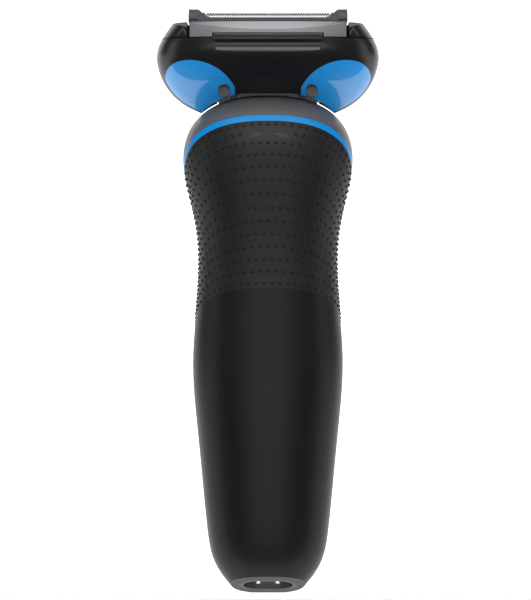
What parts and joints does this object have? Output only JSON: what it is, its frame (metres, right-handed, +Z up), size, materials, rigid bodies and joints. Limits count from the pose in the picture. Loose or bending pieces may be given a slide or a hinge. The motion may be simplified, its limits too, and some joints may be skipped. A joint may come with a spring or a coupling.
{
  "type": "electric shaver",
  "caption": "Cordless foil shaver: soft-grip handle with power button and inlet, tilting head on a detachable neck, and a lift-off cassette with two floating foils and a trimmer.",
  "frame": {"origin": "middle of the handle's footprint at its lowest point", "axes": "+Z up the handle towards the foils, -Y out of the switch side, +Y out of the back"},
  "size_m": [0.0627, 0.0362, 0.165],
  "materials": {
    "shell": "fine spark-eroded matte moulding",
    "grip_rubber": "soft matte overmould with raised nubs",
    "gloss_panel": "polished moulding",
    "accent": "satin moulding",
    "accent_gloss": "polished metallic-tinted moulding",
    "inner_plastic": "moulded",
    "seal_rubber": "moulded",
    "socket_plastic": "moulded",
    "contact_metal": "nickel plated",
    "lens": "clear light guide",
    "led": "moulded package",
    "board": "solder mask",
    "steel": "zinc plated",
    "cell_sleeve": "shrink sleeve",
    "nickel": "nickel strip",
    "core_steel": "laminated",
    "copper": "enamelled wire",
    "bright_metal": "polished plating",
    "button_plastic": "polished moulding",
    "magnet_carrier": "nickel plated",
    "brass_weight": "turned",
    "neck_plastic": "fine matte moulding",
    "drive_plastic": "acetal moulding",
    "head_plastic": "satin moulding",
    "stud_plastic": "moulded",
    "frame_plastic": "satin moulding",
    "bright_trim": "satin metal paint",
    "cheek_plastic": "moulded",
    "spring_steel": "drawn wire",
    "foil_steel": "electroformed nickel foil",
    "blade_steel": "ground"
  },
  "bodies": {
    "handle": {"rear_shell": "shell", "front_shell": "shell", "grip_sleeve": "grip_rubber", "front_panel": "gloss_panel", "accent_ring": "accent", "top_plate": "inner_plastic", "drive_diaphragm": "seal_rubber", "inlet_block": "socket_plastic", "inlet_pins": "contact_metal", "inlet_seal": "seal_rubber", "indicator_lenses": "lens", "indicator_leds": "led", "chassis": "inner_plastic", "circuit_board": "board", "board_screws": "steel", "tactile_switch": "steel", "battery_cell": "cell_sleeve", "battery_tabs": "nickel", "motor_frame": "steel", "guide_rods": "steel", "motor_core": "core_steel", "motor_coil": "copper", "button_bezel": "bright_metal", "button_membrane": "seal_rubber"},
    "power_button": {"power_button": "button_plastic"},
    "armature": {"armature": "magnet_carrier"},
    "counter_mass": {"counter_mass": "brass_weight"},
    "neck": {"neck_shroud": "neck_plastic", "neck_base": "inner_plastic", "swivel_yoke": "steel"},
    "neck_link": {"neck_link": "drive_plastic"},
    "head": {"head_housing": "head_plastic", "head_base": "inner_plastic", "tilt_pins": "steel", "fender_rear_right": "accent_gloss", "fender_rear_left": "accent_gloss", "fender_front_left": "accent_gloss", "fender_front_right": "accent_gloss", "fender_studs": "stud_plastic"},
    "drive_bridge": {"drive_bridge": "drive_plastic"},
    "cassette": {"cassette_frame": "frame_plastic", "frame_trims": "bright_trim", "thumb_bars": "head_plastic", "cassette_tray": "inner_plastic", "end_cheek_left": "cheek_plastic", "end_cheek_right": "cheek_plastic", "float_springs_front": "spring_steel", "float_springs_rear": "spring_steel"},
    "release_left": {"release_button_left": "head_plastic"},
    "release_right": {"release_button_right": "head_plastic"},
    "foil_unit_front": {"foil_front": "foil_steel", "foil_cradle_front": "cheek_plastic"},
    "foil_unit_rear": {"foil_rear": "foil_steel", "foil_cradle_rear": "cheek_plastic"},
    "cutter_unit_front": {"cutter_front": "blade_steel"},
    "cutter_unit_rear": {"cutter_rear": "blade_steel"},
    "trimmer_unit": {"trimmer_holder": "cheek_plastic", "trimmer_comb": "blade_steel"},
    "trimmer_blade_unit": {"trimmer_blade": "blade_steel"}
  },
  "joints": [
    {"name": "button_press", "type": "slide", "parent": "handle", "child": "power_button", "axis": [0, 1, 0], "range_m": [0, 0.0005], "stiffness_N_per_m": 400},
    {"name": "motor_drive", "type": "slide", "parent": "handle", "child": "armature", "axis": [1, 0, 0], "range_m": [-0.0009, 0.0009], "stiffness_N_per_m": 1500},
    {"name": "counter_swing", "type": "slide", "parent": "handle", "child": "counter_mass", "axis": [1, 0, 0], "range_m": [-0.0009, 0.0009]},
    {"name": "head_lift", "type": "slide", "parent": "handle", "child": "neck", "axis": [0, 0, 1], "range_m": [0, 0.02]},
    {"name": "link_swing", "type": "slide", "parent": "neck", "child": "neck_link", "axis": [1, 0, 0], "range_m": [-0.0009, 0.0009]},
    {"name": "head_tilt", "type": "hinge", "parent": "neck", "child": "head", "pos_m": [0, 0, 0.146], "axis": [1, 0, 0], "range_deg": [-10, 10], "stiffness_Nm_per_rad": 0.15},
    {"name": "bridge_swing", "type": "slide", "parent": "head", "child": "drive_bridge", "axis": [1, 0, 0], "range_m": [-0.0009, 0.0009]},
    {"name": "cassette_lift", "type": "slide", "parent": "head", "child": "cassette", "axis": [0, 0, 1], "range_m": [0, 0.016]},
    {"name": "release_left_press", "type": "slide", "parent": "head", "child": "release_left", "axis": [-1, 0, 0], "range_m": [0, 0.0005], "stiffness_N_per_m": 400},
    {"name": "release_right_press", "type": "slide", "parent": "head", "child": "release_right", "axis": [1, 0, 0], "range_m": [0, 0.0005], "stiffness_N_per_m": 400},
    {"name": "foil_float_front", "type": "slide", "parent": "cassette", "child": "foil_unit_front", "axis": [0, 0, -1], "range_m": [0, 0.0013], "stiffness_N_per_m": 300, "deforming": ["float_springs_front"]},
    {"name": "foil_float_rear", "type": "slide", "parent": "cassette", "child": "foil_unit_rear", "axis": [0, 0, -1], "range_m": [0, 0.0013], "stiffness_N_per_m": 300, "deforming": ["float_springs_rear"]},
    {"name": "trimmer_float", "type": "slide", "parent": "cassette", "child": "trimmer_unit", "axis": [0, 0, -1], "range_m": [0, 0.0013], "stiffness_N_per_m": 300},
    {"name": "cutter_swing_front", "type": "slide", "parent": "foil_unit_front", "child": "cutter_unit_front", "axis": [1, 0, 0], "range_m": [-0.0009, 0.0009]},
    {"name": "cutter_swing_rear", "type": "slide", "parent": "foil_unit_rear", "child": "cutter_unit_rear", "axis": [1, 0, 0], "range_m": [-0.0009, 0.0009]},
    {"name": "trimmer_swing", "type": "slide", "parent": "trimmer_unit", "child": "trimmer_blade_unit", "axis": [1, 0, 0], "range_m": [-0.0009, 0.0009]}
  ],
  "couplings": [
    {"joint": "counter_swing", "follows": "motor_drive", "ratio": -1},
    {"joint": "link_swing", "follows": "motor_drive", "ratio": 1},
    {"joint": "bridge_swing", "follows": "motor_drive", "ratio": 1},
    {"joint": "cutter_swing_front", "follows": "motor_drive", "ratio": 1},
    {"joint": "cutter_swing_rear", "follows": "motor_drive", "ratio": 1},
    {"joint": "trimmer_swing", "follows": "motor_drive", "ratio": 1}
  ]
}
